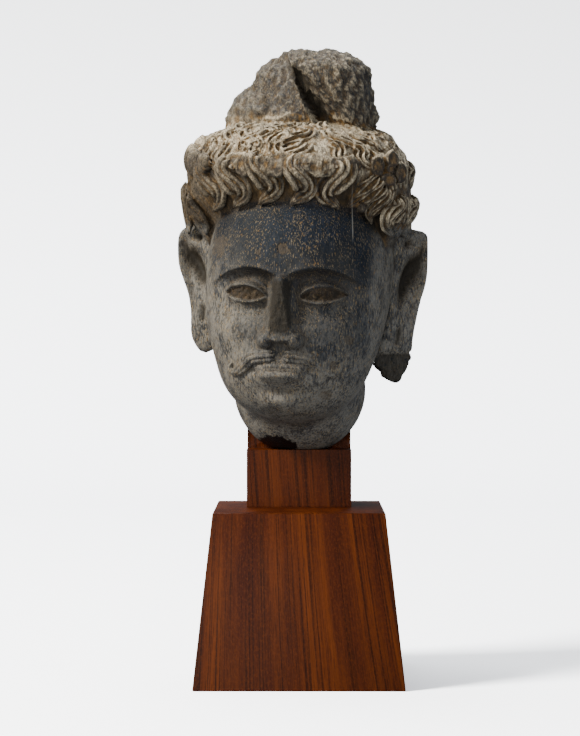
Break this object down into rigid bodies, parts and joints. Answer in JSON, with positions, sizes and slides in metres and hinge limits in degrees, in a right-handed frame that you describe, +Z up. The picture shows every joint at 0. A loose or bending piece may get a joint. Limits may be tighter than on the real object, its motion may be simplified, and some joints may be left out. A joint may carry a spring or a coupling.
{
  "type": "stone head on wooden stand",
  "caption": "Weathered grey stone head of a bodhisattva with wavy locks and a broken topknot, standing by its neck stump on a tapered hardwood plinth with a stepped block.",
  "frame": {"origin": "middle of the plinth's underside", "axes": "+Z up; the stand faces -Y, and the face looks along -Y, turned a little towards -X"},
  "size_m": [0.2062, 0.2034, 0.5135],
  "materials": {
    "plinth": "polished red-brown hardwood, grain upright",
    "neck_block": "polished red-brown hardwood, grain upright",
    "stone": "weathered blue-grey schist with ochre crust in the recesses"
  },
  "bodies": {
    "root": {"plinth": "plinth", "neck_block": "neck_block", "head": "stone"}
  },
  "joints": []
}
